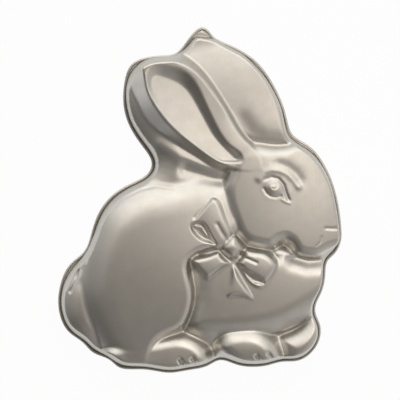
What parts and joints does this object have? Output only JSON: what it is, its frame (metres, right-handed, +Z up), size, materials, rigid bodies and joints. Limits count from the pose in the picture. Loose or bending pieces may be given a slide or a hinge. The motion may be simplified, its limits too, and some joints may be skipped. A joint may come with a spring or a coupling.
{
  "type": "cake pan",
  "caption": "Pressed aluminium novelty cake pan shaped as a side-on sitting rabbit with a ribbon bow, seen from its raised outside, with a flat flange and rolled rim",
  "frame": {"origin": "middle of the pan's footprint, on the plane that the rim stands on", "axes": "+X towards the rabbit's nose, +Y towards its ears, +Z up out of the relief, with the pan lying rim down"},
  "size_m": [0.2918, 0.356, 0.0499],
  "materials": {
    "pan_sheet": "satin, softly worn",
    "rolled_edge": "satin, rubbed darker along the roll"
  },
  "bodies": {
    "root": {"rolled_rim": "rolled_edge", "rim_flange": "pan_sheet", "side_wall": "pan_sheet", "haunch": "pan_sheet", "head": "pan_sheet", "eye": "pan_sheet", "brow": "pan_sheet", "front_ear": "pan_sheet", "rear_ear": "pan_sheet", "neck": "pan_sheet", "chest": "pan_sheet", "collar_ribbon": "pan_sheet", "bow_knot": "pan_sheet", "bow_upper_loop": "pan_sheet", "bow_right_loop": "pan_sheet", "bow_left_tail": "pan_sheet", "bow_lower_tail": "pan_sheet", "rear_foot": "pan_sheet", "near_paw": "pan_sheet", "far_paw": "pan_sheet", "tail": "pan_sheet"}
  },
  "joints": []
}
